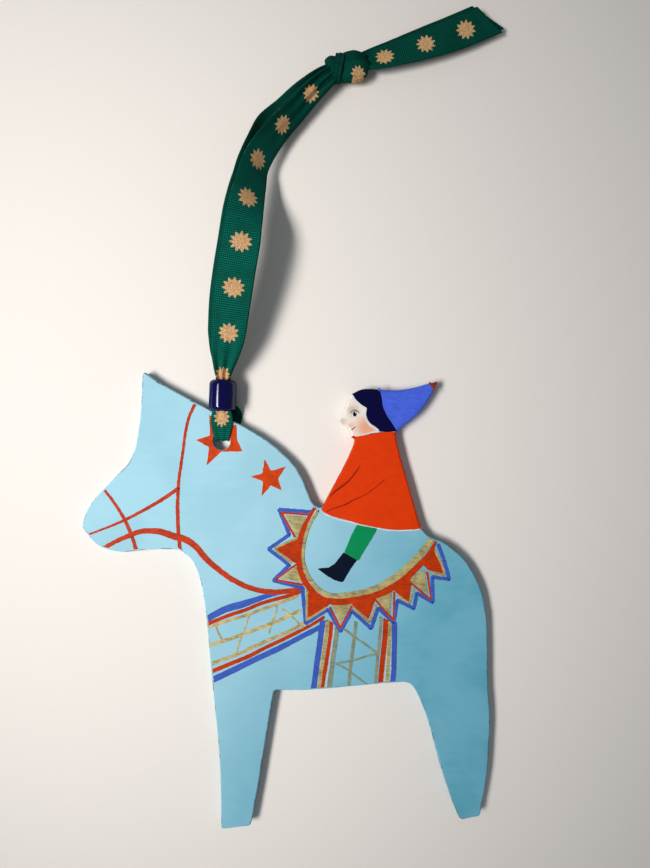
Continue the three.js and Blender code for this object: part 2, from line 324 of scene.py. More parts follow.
def face_finish():
    """Cream on white, with a soft shade round the eye and the nose and a rosy cheek."""
    finish = Finish("face_cream_paint")
    here = finish.place()
    clouds = finish.noise(0.6, detail=3.0)

    def near(x, y, reach):
        ends = {0: here, 1: (x, y, FACE)}
        away = finish.add("ShaderNodeVectorMath", {"operation": "DISTANCE"}, ends, "Value")
        return 1 - (away + 0.8 * (clouds - 0.5)).step(0.15 * reach, reach)

    shade = finish.mix(clouds.step(0.35, 0.65), colour(0.82, 0.72, 0.63), colour(0.86, 0.78, 0.70))
    shade = finish.mix(0.75 * near(18.2, 51.3, 2.4), shade, colour(0.50, 0.42, 0.33))
    shade = finish.mix(0.55 * near(14.9, 48.2, 1.9), shade, colour(0.46, 0.36, 0.26))
    shade = finish.mix(0.9 * near(21.9, 46.8, 4.6), shade, colour(0.80, 0.33, 0.20))
    shade = finish.mix(0.6 * near(17.6, 47.3, 1.3), shade, colour(0.80, 0.42, 0.28))
    return finish.done(Base_Color=shade, Roughness=0.65, Normal=finish.bump(clouds, 0.03),
                       Specular_IOR_Level=0.2)


face_cream = face_finish()
print(len(bpy.data.materials), "materials so far")

# %% [markdown]
# ## Sawn board
# The real board was cut with a fine saw and its edges were rubbed down, so the outline wavers a little and
# every edge is slightly round, with paint over it. The CAD solid has the right outline but knife-sharp
# edges. The outline is read back from it, cut into short steps, loosened a little and then built up again
# as rings: the two outer rings step inwards, and that is the rounding. The flat faces are filled between
# the outline and the hole.

# %% Helpers for flat outlines


def rims_of(piece, height):
    """The closed outlines of a solid's flat face at that height in millimetres, each with the face on its
    left."""
    mesh = piece.data
    at = [v.co / MM for v in mesh.vertices]
    key = [(round(p.x, 3), round(p.y, 3)) for p in at]
    sides = set()
    for polygon in mesh.polygons:
        if all(abs(at[v].z - height) < 0.01 for v in polygon.vertices):
            corners = [key[v] for v in polygon.vertices]
            sides.update(zip(corners, corners[1:] + corners[:1]))
    after = {a: b for a, b in sides if (b, a) not in sides}
    rims = []
    while after:
        start = min(after)
        rim = [start]
        while after[rim[-1]] != start:
            rim.append(after.pop(rim[-1]))
        after.pop(rim[-1])
        rims.append([Vector(p) for p in rim])
    return sorted(rims, key=len, reverse=True)


def even_rim(rim, spacing):
    """The same closed outline in short, equal steps."""
    points = []
    for a, b in zip(rim, rim[1:] + rim[:1]):
        steps = max(1, round((b - a).length / spacing))
        points += [a.lerp(b, k / steps) for k in range(steps)]
    return points


def softened(rim, passes):
    """The outline with its corners rubbed round."""
    for _ in range(passes):
        rim = [(rim[i - 1] + 2 * p + rim[(i + 1) % len(rim)]) / 4 for i, p in enumerate(rim)]
    return rim


def moved_in(rim, distances):
    """The outline moved towards its inner side, by a distance at each point."""
    moved = []
    for i, (p, distance) in enumerate(zip(rim, distances)):
        along = rim[(i + 1) % len(rim)] - rim[i - 1]
        inward = Vector((-along.y, along.x)).normalized() if along.length > 1e-6 else Vector((0, 0))
        moved.append(p + inward * distance)
    return moved


def add_rings(points, faces, rims_and_heights):
    """Joins rings of equal length, one above the other, and returns each ring's first point's number. A
    ring has one height, or a list of one for each point."""
    firsts = []
    for rim, heights in rims_and_heights:
        firsts.append(len(points))
        heights = heights if isinstance(heights, list) else [heights] * len(rim)
        points += [(p.x, p.y, height) for p, height in zip(rim, heights)]
    for low, high in zip(firsts, firsts[1:]):
        count = high - low
        faces += [(low + i, low + (i + 1) % count, high + (i + 1) % count, high + i) for i in range(count)]
    return firsts


def add_cap(points, faces, rings, upwards):
    """Fills the flat face inside the first ring and outside the others. A ring is its first number and its
    count."""
    numbers = [first + i for first, count in rings for i in range(count)]
    loops = [[Vector((*points[first + i][:2], 0)) for i in range(count)] for first, count in rings]
    for a, b, c in geometry.tessellate_polygon(loops):
        a, b, c = numbers[a], numbers[b], numbers[c]
        pa, pb, pc = (Vector(points[n][:2]) for n in (a, b, c))
        turn = (pb - pa).cross(pc - pa)
        if abs(turn) > 1e-9:
            faces.append((a, b, c) if (turn > 0) == upwards else (a, c, b))


# %% Board with rubbed edges
EDGE_ROUNDING = 0.32


board_rims = rims_of(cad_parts["horse_board"], FACE)
sawn_rims = []


def make_board():
    points, faces = [], []
    tops, bottoms = [], []
    for rim in board_rims:
        rim = softened(even_rim(rim, 0.45), 2)
        saw = [0.05 + 0.06 * wobble(p.x, p.y, 2.3) + 0.05 * wobble(p.x, p.y, 7, 3) for p in rim]
        rim = moved_in(rim, saw)
        rubbed = [EDGE_ROUNDING * (1 + 0.5 * wobble(p.x, p.y, 4, 5)) for p in rim]
        sawn_rims.append(rim)
        half = moved_in(rim, [0.3 * r for r in rubbed])
        full = moved_in(rim, rubbed)
        levels = [(full, BACK), (half, BACK + 0.1), (rim, BACK + EDGE_ROUNDING), (rim, FACE - EDGE_ROUNDING),
                  (half, FACE - 0.1), (full, FACE)]
        firsts = add_rings(points, faces, levels)
        bottoms.append((firsts[0], len(rim)))
        tops.append((firsts[-1], len(rim)))
    edge_faces = len(faces)
    add_cap(points, faces, tops, True)
    add_cap(points, faces, bottoms, False)
    piece = make_piece("painted_board", points, faces, light_blue, smooth=False)
    piece.data.materials.append(rubbed_edge)
    for polygon in list(piece.data.polygons)[:edge_faces]:
        polygon.material_index = 1
        polygon.use_smooth = True
    return piece


board = make_board()
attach(board, "horse")
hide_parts("horse_board")
print("board", len(board.data.polygons), "faces, hole rim included")

# %% [markdown]
# ## How the painted areas are laid
# Each painted area is a thin skin of its own with a rounded edge, a few hundredths of a millimetre thick,
# as craft paint dries on wood. A flat area is given by its outline. A brush line is given by the line that
# the brush's middle took, with the line's width at each point. Both get an edge that wavers like a hand-
# held brush's. Later coats lie higher than earlier ones, so a layer number decides what covers what.

# %% Helpers for painted areas
SKIN = 0.035
LAYER_STEP = 0.012


def brush_outline(line, seed, ragged):
    """The outline of a brush line, from points (x, y, width)."""
    line = smooth_line(line, 0.35)
    left, right = [], []
    for i, p in enumerate(line):
        along = (line[min(i + 1, len(line) - 1)] - line[max(i - 1, 0)]).to_2d().normalized()
        side = Vector((-along.y, along.x))
        middle = p.to_2d()
        for edge, sign in ((left, 1), (right, -1)):
            fine = 0.6 * wobble(p.x, p.y, 0.35, seed + 4 * sign)
            waver = ragged * (wobble(p.x, p.y, 0.9, seed + sign) + fine)
            edge.append(middle + side * sign * (p.z / 2 + waver))
        if i in (0, len(line) - 1):
            tip = middle + along * (0.35 * p.z if i else -0.35 * p.z)
            (left if i else right).append(tip)
    return left + right[::-1]


board_edge = kdtree.KDTree(len(sawn_rims[0]))
for number, p in enumerate(sawn_rims[0]):
    board_edge.insert((*p, 0), number)
board_edge.balance()


def on_board(p, margin, over_edge):
    """The point, or the nearest one at that margin inside the board's edge, and whether it lies over the
    edge. Paint that goes over the edge is drawn out to it."""
    rim = sawn_rims[0]
    nearest, number, _ = board_edge.find((*p, 0))
    along = rim[(number + 1) % len(rim)] - rim[number - 1]
    inward = Vector((-along.y, along.x)).normalized()
    inside = (p - nearest.to_2d()).dot(inward)
    if over_edge and inside < 0.6:
        return p - inward * (inside + 0.02), True
    return (p if inside > margin else p + inward * (margin - inside)), False


def paint(name, finish, layer, areas=(), lines=(), ragged=0.07, rubbed=0.07, hole=None, over_edge=False):
    """One piece of paint on the board's face, of flat areas and brush lines. It stays inside the edge's
    rounding, or it goes over the edge and down the sawn side."""
    points, faces = [], []
    top = FACE + SKIN + LAYER_STEP * layer
    rims = [softened(even_rim([Vector(p) for p in area], 0.35), 1) for area in areas]
    rims = [moved_in(rim, [ragged * wobble(p.x, p.y, 0.9, layer) for p in rim]) for rim in rims]
    rims += [brush_outline(line, layer + k, ragged) for k, line in enumerate(lines)]
    for number, rim in enumerate(rims):
        crossing = 0.0015 * number
        if sum(a.cross(b) for a, b in zip(rim, rim[1:] + rim[:1])) < 0:
            rim.reverse()
        placed = [on_board(p, EDGE_ROUNDING + 0.1, over_edge) for p in rim]
        rim, over = [p for p, _ in placed], [o for _, o in placed]
        half = moved_in(rim, [0.12 if o else 0.3 * rubbed for o in over])
        inner = moved_in(rim, [0.45 if o else rubbed for o in over])
        levels = [(rim, BACK + EDGE_ROUNDING, FACE - 0.03), (rim, FACE - EDGE_ROUNDING, top - 0.5 * SKIN),
                  (half, FACE - 0.07, top - 0.3 * SKIN), (inner, top + crossing, top + crossing)]
        firsts = add_rings(points, faces, [(ring, [a if o else b for o in over]) for ring, a, b in levels])
        rings = [(firsts[-1], len(rim))]
        if hole:
            cut = softened(even_rim(hole, 0.3), 1)
            cut = moved_in(cut, [0.12] * len(cut))
            rings.append((add_rings(points, faces, [(cut, FACE - 0.2), (cut, top)])[-1], len(cut)))
        add_cap(points, faces, rings, True)
    piece = make_piece(name, points, faces, finish, smooth=False)
    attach(piece, "horse")
    return piece


# %% [markdown]
# ## Bridle, rein and stars
# The tack is one red line after the other: a cheek strap that runs down the whole head, one from it to the
# nose, a noseband, and a rein that sweeps back to the saddle. Two plain five-pointed stars sit on the neck,
# one of them around the hole. All numbers are millimetres in the board's own frame: x, y and, for a line,
# its width.

# %% Bridle and rein
BRIDLE = {
    "cheek_strap": [
        (-24.6, 53.1, 0.9), (-26.2, 49.6, 0.8), (-27.2, 45.3, 0.8), (-27.8, 40.7, 0.8), (-28.6, 35.3, 0.8),
        (-29.1, 31.2, 0.9), (-29.3, 25.8, 1), (-29.2, 20.4, 1), (-28.9, 16.4, 1), (-28.6, 13.1, 1)],
    "cheek_to_nose": [
        (-29.2, 30.3, 1.1), (-30.8, 29.1, 1), (-34.1, 26.9, 1), (-38.1, 24.6, 0.9), (-41.9, 22.6, 0.8),
        (-45.7, 20.8, 0.7), (-49.7, 19.2, 0.6), (-53.5, 17.8, 0.5)],
    "noseband": [
        (-49.1, 29.9, 0.7), (-46.8, 26.9, 0.8), (-44.3, 23.1, 0.9), (-42.7, 19.9, 1), (-41.4, 16.6, 1),
        (-40.5, 13.6, 1.1)],
    "rein": [
        (-49.5, 13.9, 1.2), (-46.5, 15.7, 1.2), (-43, 17.3, 1.3), (-39.5, 18.6, 1.4), (-36.8, 18.8, 1.5),
        (-34.1, 18.6, 1.7), (-30, 17.3, 1.9), (-27, 16.4, 1.8), (-24.1, 14.3, 1.7), (-21.9, 11.6, 1.6),
        (-17.8, 8, 1.5), (-13.5, 5.1, 1.4), (-8.4, 3, 1.4), (-3, 2.3, 1.4), (3.2, 2.8, 1.4)],
}

paint("bridle_and_rein", tack_red, 2, lines=BRIDLE.values(), ragged=0.1)
print(len(BRIDLE), "straps")

# %% Stars
STARS = {
    "star_at_hole": [
        (-24.3, 43.4), (-20.8, 41.4), (-21.5, 36.4), (-17.6, 40.2), (-11.8, 40.3), (-13.2, 43.4),
        (-13.4, 47.7), (-17.3, 46.2), (-20.8, 50.4), (-20.5, 44.6)],
    "star_on_shoulder": [
        (-5.8, 38.2), (-4.1, 35.1), (0, 36.2), (-2.2, 33), (-1.1, 29.7), (-4.1, 31.1), (-6.6, 28.2),
        (-6.2, 32.2), (-9.7, 33.5), (-6.4, 34.3)],
}

paint("star_at_hole", star_red, 1, [STARS["star_at_hole"]], ragged=0.12, hole=board_rims[1])
paint("star_on_shoulder", star_red, 1, [STARS["star_on_shoulder"]], ragged=0.12)

# %% [markdown]
# ## Straps across the breast and under the belly
# Two bands hold the saddle. Each is a bundle of thin lines in blue, red and gold, laid one beside the other
# with slivers of pale primer between them, and crossed by short gold strokes. The gold is thin and lets the
# blue coat show, so it looks greyish in places.

# %% Breast strap
BREAST_STRAP = {
    "blue_upper": [
        (-21.6, -5.1, 1.2), (-16.5, -2.4, 1.3), (-12.4, -1.2, 1.4), (-8.4, 0.1, 1.1), (-4.3, 1.5, 0.9),
        (-0.3, 2.4, 0.8), (4.6, 3.1, 0.7)],
    "red_upper": [
        (-21.4, -6.4, 0.8), (-15.1, -3.9, 0.8), (-11.1, -2.6, 0.8), (-7, -0.9, 0.8), (-3, 0.3, 0.8),
        (1.1, 1.4, 0.8), (4.1, 2.4, 0.8)],
    "gold_top": [
        (-21.1, -7.2, 0.7), (-15.1, -5.3, 0.7), (-11.1, -4.1, 0.7), (-7.6, -2.8, 0.7), (-4.3, -1.6, 0.7),
        (-0.3, -0.1, 0.7), (3, 1.2, 0.7)],
    "gold_middle": [
        (-20.8, -12.2, 0.8), (-17.8, -11.2, 0.8), (-13.8, -9.9, 0.8), (-9.7, -8.4, 0.8), (-6.5, -7.2, 0.8),
        (-3, -5.9, 0.8), (0.3, -4.3, 0.8), (3.8, -2.8, 0.8)],
    "gold_bottom": [
        (-20.3, -17.2, 0.8), (-17.8, -16.2, 0.8), (-14.6, -15.1, 0.8), (-11.1, -13.6, 0.8),
        (-7.6, -12, 0.8), (-4.3, -10.5, 0.8), (-0.3, -8.8, 0.8), (3, -7.2, 0.8), (4.9, -6.1, 0.8)],
    "gold_cross_1": [
        (-9.7, -3.6, 0.4), (-10.8, -6.4, 0.4), (-11.6, -8.8, 0.4), (-12.7, -11.5, 0.4), (-13.5, -14.7, 0.4)],
    "gold_cross_2": [(-19.2, -6.4, 0.4), (-18.4, -8.5, 0.4), (-17.3, -10.7, 0.4)],
    "gold_cross_3": [(-2.4, -1.5, 0.4), (-3, -3.9, 0.4), (-3.8, -5.8, 0.4), (-4.6, -8.8, 0.4)],
    "gold_cross_4": [(-0.8, -2.3, 0.4), (1.1, -3.9, 0.4), (3, -5.8, 0.4), (4.6, -7.4, 0.4)],
    "red_lower": [
        (-20.1, -19.2, 0.9), (-13.8, -16.6, 0.9), (-9.7, -14.9, 0.9), (-5.7, -12.8, 0.8),
        (-1.6, -10.9, 0.8), (2.4, -8.9, 0.8), (6.5, -6.8, 0.7), (10.3, -4.5, 0.7)],
    "blue_lower": [
        (-19.7, -21.4, 1.2), (-13.8, -18.6, 1.2), (-9.7, -16.6, 1.1), (-5.7, -14.7, 1.1),
        (-1.6, -12.8, 1.1), (2.4, -10.7, 1), (6.5, -8.6, 1), (10, -6.8, 0.9)],
}


def starting_with(table, word):
    return [shape for name, shape in table.items() if name.startswith(word)]


def lines_of(table, word, spread=1.0):
    """The brush lines whose name starts with that word. Wet paint spreads, so a line can come out wider."""
    return [[(x, y, spread * width) for x, y, width in line] for line in starting_with(table, word)]


paint("breast_strap_blue", strap_blue, 1, lines=lines_of(BREAST_STRAP, "blue", 1.4))
paint("breast_strap_red", saddle_red, 2, lines=lines_of(BREAST_STRAP, "red", 1.25))
paint("breast_strap_gold", thin_gold, 3, lines=lines_of(BREAST_STRAP, "gold", 1.2), ragged=0.1)

# %% Girth
GIRTH = {
    "blue_front": [
        (10, -5.3, 1.1), (9.6, -8, 1.1), (9.1, -12, 1.1), (8.5, -16.1, 1.1), (8, -20.1, 1.1),
        (7.4, -24.2, 1.1)],
    "gold_front": [
        (11.4, -5.3, 0.9), (10.8, -9.3, 0.9), (10.3, -13.4, 0.9), (9.7, -17.4, 0.9), (9.2, -21.5, 0.9),
        (8.8, -24.2, 0.9)],
    "red_front": [
        (12.3, -5.8, 0.9), (12, -9.3, 0.9), (11.4, -13.4, 0.9), (10.8, -17.4, 0.9), (10.1, -21.5, 0.9),
        (9.7, -24.2, 0.9)],
    "olive_front": [
        (13.8, -7.4, 1.1), (13.4, -10.7, 1.1), (12.8, -14.7, 1.1), (12.2, -19.3, 1.1), (11.6, -23.9, 1.1)],
    "olive_middle": [
        (18.9, -5.8, 0.8), (18.5, -9.3, 0.8), (18, -13.4, 0.8), (17.4, -18, 0.8), (16.9, -23.4, 0.8)],
    "olive_cross_1": [(15.9, -7.8, 0.5), (18.6, -9.9, 0.5), (21.6, -12, 0.5), (24.6, -14.3, 0.5)],
    "olive_cross_2": [(24.3, -14.5, 0.5), (21.6, -15.1, 0.5), (18.6, -16.1, 0.5), (14.1, -16.9, 0.5)],
    "olive_cross_3": [(13.5, -17, 0.4), (16.2, -18.5, 0.4), (18.6, -20.3, 0.4), (21.9, -22.7, 0.4)],
    "olive_back": [
        (25.7, -4.5, 0.7), (25.4, -8, 0.7), (25.1, -12, 0.7), (24.5, -17.4, 0.7), (24.1, -22.6, 0.7)],
    "red_back": [
        (27, -5, 1.2), (26.8, -9.3, 1.2), (26.4, -13.4, 1.2), (25.9, -18.2, 1.2), (25.5, -22.6, 1.2)],
    "gold_back": [
        (28.1, -5.3, 0.9), (28, -9.3, 0.9), (27.8, -13.4, 0.9), (27.6, -18.2, 0.9), (27.3, -22.3, 0.9)],
    "blue_back": [(29.3, -5.8, 1), (29.3, -10.7, 1), (29.2, -14.7, 1), (29.1, -18.8, 1), (28.8, -22.2, 1)],
}

GIRTH_PRIMER = [
    [(10.2, -5.6), (13.6, -7.2), (11.8, -23.4), (7.6, -23.6)],
    [(27.2, -4.6), (29.2, -5.6), (28.7, -21.9), (25.7, -22.2)],
]
paint("girth_primer", under_coat, 0, GIRTH_PRIMER)
paint("girth_blue", strap_blue, 1, lines=lines_of(GIRTH, "blue", 1.45))
paint("girth_red", saddle_red, 2, lines=lines_of(GIRTH, "red", 1.2))
paint("girth_gold", gold, 3, lines=lines_of(GIRTH, "gold", 1.1), ragged=0.1)
paint("girth_olive", olive, 4, lines=lines_of(GIRTH, "olive", 1.15), ragged=0.12)

# %% [markdown]
# ## Saddle cloth
# The saddle cloth has a round lower edge: a gold seam with a red band outside it, and outside that a row of
# triangles, gold and red in turn. A blue zigzag runs round their tips, and each triangle has thin strokes
# of the other colour along its sides.

# %% Zigzag and triangles
ZIGZAG = [
    (7.7, 25), (7, 23.9), (-1.9, 24.6), (0.9, 17.8), (-4.7, 13.9), (0.9, 9.6), (-3.4, 5.4), (4.6, 3.4),
    (4.5, 2.6), (5.3, -6.2), (11.4, -2.4), (14.7, -8.4), (17.8, -2.8), (23, -7.6), (24.9, -2), (29.1, -5.9),
    (30.1, 0.1), (34.6, -2.2), (35.3, 2), (39.7, -0.5), (39.5, 6.4), (44.1, 5.7), (42.7, 10.9),
    (41.1, 15.1)]

TRIANGLES = {
    "gold1": [(-0.3, 23.2), (5.4, 22.7), (4.5, 20.4), (3, 17)],
    "red2": [(-2.8, 14.1), (2.7, 16.6), (4.3, 17.4), (4.1, 9.6), (2, 10.3)],
    "gold3": [(2.6, 9.2), (4.5, 5), (-1.6, 5.9)],
    "red4": [(5.8, 4.2), (9.7, 0.9), (11.9, -0.4), (11.4, -1.5), (5.8, -4.7)],
    "gold5": [(12.2, -0.8), (13.2, -0.4), (17.3, -0.4), (17.7, -0.9), (14.6, -6.4)],
    "red6": [(17.3, 0.7), (24.6, 2), (24.1, 0.1), (22.3, -5.1), (17.8, -1.2)],
    "gold7": [(24.1, 0.8), (28.6, 2.4), (28.4, 0.1), (28.1, -4.2)],
    "red8": [(28.6, 3.9), (33.8, 7.2), (33.9, 4.2), (33.2, -0.3), (29.5, 2.3)],
    "gold9": [(33.5, 5.7), (36.2, 8), (37.4, 8.1), (38.4, 1.6), (34.1, 4.6)],
    "red10": [(36.5, 10.1), (39.7, 14.7), (41.1, 12.3), (42.6, 7.2), (38.4, 8.2)],
}

TRIANGLE_EDGES = {
    "red1": [[(-1.4, 23.8), (6.8, 23.1)], [(-1.4, 23.9), (2.4, 17.2)]],
    "gold2": [[(-3, 14.2), (3, 16.9)], [(-3, 13.9), (1.4, 10.1)]],
    "red3": [[(-2.7, 5.8), (2.7, 9.7)], [(-2.7, 5.5), (4.6, 4.3)]],
    "gold4": [[(5.7, 2.6), (5.5, -5.3)], [(5.7, -5.3), (10.8, -2)]],
    "red5": [[(11.9, -1.8), (14.6, -7.4)], [(17.8, -1.5), (14.7, -7.4)]],
    "gold6": [[(18.1, -2), (22.4, -5.9)], [(22.7, -5.8), (24.2, -1.2)]],
    "red7": [[(23.9, 0.4), (28.8, -5.1)], [(29.2, 2.3), (29.1, -5.3)]],
    "gold8": [[(30, 1.5), (33.2, -0.7)], [(33.4, -0.7), (34.5, 3.1)]],
    "red9": [[(33.8, 4.7), (38.9, 0.3)], [(38.1, 7.7), (39.2, 0.7)]],
    "gold10": [[(40.3, 13.4), (42.3, 9.1), (42.8, 6.9)], [(38.9, 7.7), (42.4, 6.6)]],
}


def with_width(line, width):
    return [(*p, width) for p in line]


zigzag = [with_width(pair, 0.98) for pair in zip(ZIGZAG, ZIGZAG[1:])]
gold_edges = [with_width(line, 0.6) for line in sum(starting_with(TRIANGLE_EDGES, "gold"), [])]
red_edges = [with_width(line, 0.55) for line in sum(starting_with(TRIANGLE_EDGES, "red"), [])]
paint("saddle_zigzag", strap_blue, 5, lines=zigzag, ragged=0.1)
paint("gold_triangles", gold, 6, starting_with(TRIANGLES, "gold"))
paint("red_triangles", saddle_red, 6, starting_with(TRIANGLES, "red"))
paint("red_triangle_edges", saddle_red, 7, lines=red_edges)
paint("gold_triangle_edges", gold, 7, lines=gold_edges, ragged=0.1)
print(len(TRIANGLES), "triangles")

# %% Seam and band
SADDLE = {
    "gold_seam": [
        (8.6, 24.2, 0.8), (6.5, 20.7, 0.8), (5.1, 16.4, 0.8), (4.6, 12, 0.8), (5.1, 8.8, 0.9), (7, 5, 1),
        (9.7, 2.3, 1.2), (13.2, 1.2, 1.4), (18.6, 1.8, 1.5), (24.1, 3.2, 1.7), (29.5, 6.2, 1.9),
        (33.5, 9.6, 1.9), (37, 13.4, 1.8), (39.2, 16.6, 1.5)],
    "red_band": [
        (7.8, 25, 0.9), (5.4, 20.9, 1.2), (3.9, 16.6, 1.5), (3.4, 12, 1.6), (3.9, 8.2, 1.6),
        (5.7, 4.3, 1.7), (8.9, 0.9, 1.7), (13, -0.3, 1.8), (18.9, 0.2, 1.8), (24.9, 1.7, 1.9),
        (30.4, 4.5, 1.9), (34.6, 8.2, 1.8), (38.3, 12.1, 1.3), (40.4, 15.8, 0.9)],
    "white_gap": [
        (8.1, 24.6, 0.4), (5.8, 20.8, 0.5), (4.4, 16.5, 0.5), (3.9, 12, 0.5), (4.4, 8.5, 0.5),
        (6.3, 4.6, 0.5), (9.2, 1.5, 0.5), (13.1, 0.4, 0.5), (18.8, 0.9, 0.5), (24.5, 2.4, 0.4)],
}

paint("saddle_band_white", primer_white, 8, lines=[SADDLE["white_gap"]])
paint("saddle_band_red", saddle_red, 9, lines=[SADDLE["red_band"]])
paint("saddle_seam_gold", gold, 10, lines=[SADDLE["gold_seam"]], ragged=0.1)

# %% [markdown]
# ## Rider
# The rider is a small painted doll, cut from the same board: an orange coat with a fold and a sleeve line,
# a pointed blue cap with a red tip, dark hair, a green trouser leg and a dark boot. The face is a simple one:
# an eye with a lid line and a glint, a short line for the mouth and a rosy cheek.

# %% Rider's clothes, hair and face
RIDER = {
    "coat": [
        (17.8, 44.5), (20.5, 44.6), (23.2, 45.3), (25.4, 45.5), (29.7, 45.7), (30.5, 42), (31.9, 37.4),
        (33.5, 30.7), (35.4, 24.2), (36.8, 19.5), (34.9, 19.2), (30.8, 19.1), (28.1, 19.2), (25.4, 19.6),
        (22.7, 20.1), (20, 20.7), (17.3, 21.5), (14.6, 22.2), (11.9, 23), (9.7, 24.2), (9.5, 24.9),
        (11.6, 29.3), (14.9, 36.1), (18.4, 42.6), (18.6, 43.4), (18.1, 44.1)],
    "hair": [
        (17.6, 55.8), (19.5, 56.9), (22.7, 57.4), (25.4, 57.2), (25.8, 55.3), (26.2, 52.3), (27.3, 49.9),
        (28.9, 47.6), (29.9, 45.8), (27.3, 45.5), (25.1, 45.7), (24.9, 46.5), (23.9, 47.1), (22.8, 47.8),
        (22, 48.9), (21.6, 50.1), (21.7, 51.2), (21.9, 52), (20.5, 52.8), (19.5, 53.6), (18.6, 54.6),
        (18.1, 55.5)],
    "cap": [
        (24.9, 57.4), (26.5, 57), (30.8, 57.2), (36.2, 58.4), (41.2, 59.6), (40.3, 56.9), (38.4, 53.6),
        (35.1, 49.3), (32.2, 47), (29.9, 45.7), (28.9, 47.6), (27.3, 49.9), (26.2, 52.3), (25.8, 55.3)],
    "cap_tip": [(38.5, 59.1), (41.2, 59.6), (40.4, 57), (40.1, 56.6), (39.2, 57.6)],
    "leg": [
        (19.2, 20.5), (24.7, 19.5), (23, 16.5), (21.4, 13.9), (19.5, 10.7), (15.7, 13), (16.8, 15.5),
        (17.8, 18)],
    "boot": [
        (15.5, 13), (19.2, 10.9), (17.6, 8.8), (16.2, 6.5), (15.3, 4.9), (13.2, 5.5), (11.4, 6.5),
        (8.5, 8.6), (11.6, 8.9), (13.2, 10), (14.3, 11.4)],
    "face": [
        (17.4, 56.1), (18.4, 55.5), (19.7, 53.5), (21.9, 52), (22.2, 50.9), (22.2, 49.3), (23.8, 47.3),
        (25.4, 45.7), (23.2, 44.9), (17.8, 44.3), (17.3, 45.6), (17, 46.5), (15.7, 47.5), (14.3, 48.4),
        (15.5, 49.9), (16.1, 52.2), (16.7, 53.9)],
}

RIDER_LINES = {
    "coat_fold": [
        (11.6, 27.8, 0.4), (13.2, 29.5, 0.5), (14.9, 30.7, 0.6), (16.8, 32.2, 0.6), (18.4, 34.1, 0.5),
        (20, 36.5, 0.3)],
    "sleeve_line": [
        (11.1, 24.1, 0.3), (13.2, 25, 0.3), (15.9, 25.9, 0.4), (18.6, 27.3, 0.4), (21.4, 28.6, 0.3),
        (24.1, 30.5, 0.3), (26.6, 32.6, 0.3)],
    "collar_white": [
        (18.1, 44.3, 0.3), (20.5, 44.7, 0.3), (23.2, 45.4, 0.4), (25.1, 45.9, 0.4), (23.2, 47.1, 0.3),
        (21.8, 48.9, 0.3)],
    "hair_white": [
        (17.7, 55.3, 0.4), (18.3, 54.3, 0.4), (19.2, 53.3, 0.4), (20.3, 52.4, 0.4), (21.5, 51.7, 0.4),
        (21.3, 50.9, 0.4), (21.3, 49.9, 0.4), (21.7, 48.6, 0.4), (22.6, 47.4, 0.4), (23.8, 46.7, 0.4),
        (24.5, 46.2, 0.4), (24.7, 45.5, 0.4)],
    "hem_white": [
        (9.7, 24, 0.4), (11.9, 22.8, 0.3), (14.6, 21.9, 0.3), (17.3, 21.3, 0.3), (20, 20.5, 0.3),
        (22.7, 19.9, 0.3), (25.4, 19.4, 0.3), (28.1, 19, 0.3), (30.8, 18.9, 0.3), (34.9, 19.1, 0.3),
        (36.5, 19.4, 0.3)],
    "mouth": [(17.5, 46.1, 0.3), (18.1, 46.4, 0.3), (18.8, 47, 0.2)],
    "eyelid": [(17.3, 50.7, 0.2), (18.2, 51.4, 0.3), (19.1, 51.3, 0.3), (19.8, 50.7, 0.2)],
}

paint("rider_white_lines", primer_white, 10, lines=[RIDER_LINES["hem_white"]])
paint("rider_face_outline", primer_white, 12, lines=[RIDER_LINES["hair_white"], RIDER_LINES["collar_white"]])
paint("rider_leg", leg_green, 11, [RIDER["leg"]])
paint("rider_boot", boot_navy, 12, [RIDER["boot"]])
paint("rider_coat", coat_orange, 11, [RIDER["coat"]], ragged=0.05, over_edge=True)
paint("rider_coat_folds", fold_red, 12, lines=[RIDER_LINES["coat_fold"], RIDER_LINES["sleeve_line"]])
paint("rider_face", face_cream, 11, [RIDER["face"]], ragged=0.02, over_edge=True)
paint("rider_hair", hair_navy, 13, [RIDER["hair"]], ragged=0.04, over_edge=True)
paint("rider_cap", cap_blue, 13, [RIDER["cap"]], ragged=0.04, over_edge=True)
paint("rider_cap_tip", tip_red, 14, [RIDER["cap_tip"]], ragged=0.04, over_edge=True)
paint("rider_mouth", fold_red, 13, lines=[RIDER_LINES["mouth"]], ragged=0.02)


def dot(x, y, wide, high):
    turns = [math.radians(30 * k) for k in range(12)]
    return [(x + wide / 2 * math.cos(a), y + high / 2 * math.sin(a)) for a in turns]


paint("rider_eye", hair_navy, 13, [dot(18.6, 50.4, 1.1, 1.5)], ragged=0.02)
paint("rider_eyelid", lid_brown, 14, lines=[RIDER_LINES["eyelid"]], ragged=0.02)
paint("rider_eye_glint", primer_white, 15, [dot(18.85, 50.75, 0.35, 0.4)], ragged=0.0)

# %% [markdown]
# ## Glass bead
# The bead is a short thick tube of dark cobalt glass with fire-rounded ends. It is so dark that it looks
# solid, so it is made as a glossy body with a clear coat over it. Near its rims the body colour is painted
# a lighter violet: a painted glow for the light that gets through the glass there. Layer Weight finds those
# rims. The lamp draws one long bright line along it.

# %% Bead


def bead_finish():
    finish = Finish("cobalt_glass")
    rim = finish.add("ShaderNodeLayerWeight", inputs={"Blend": 0.35}, output="Facing")
    swirl = finish.noise(1.6, (1, 0.3, 1), 2.0)
    # Painted glow: the body is lighter violet where Layer Weight finds a rim, standing in for light through
    # the glass.
    body = finish.mix(rim.step(0.6, 1.0), colour(0.0003, 0.0001, 0.052), colour(0.008, 0.005, 0.10))
    body = finish.mix(0.5 * swirl.step(0.5, 0.8), body, colour(0.004, 0.004, 0.09))
    shine = 0.65 - 0.65 * rim.step(0.25, 0.6)
    return finish.done(Base_Color=body, Roughness=0.12, Coat_Weight=shine, Coat_Roughness=0.09,
                       Specular_IOR_Level=0.04)


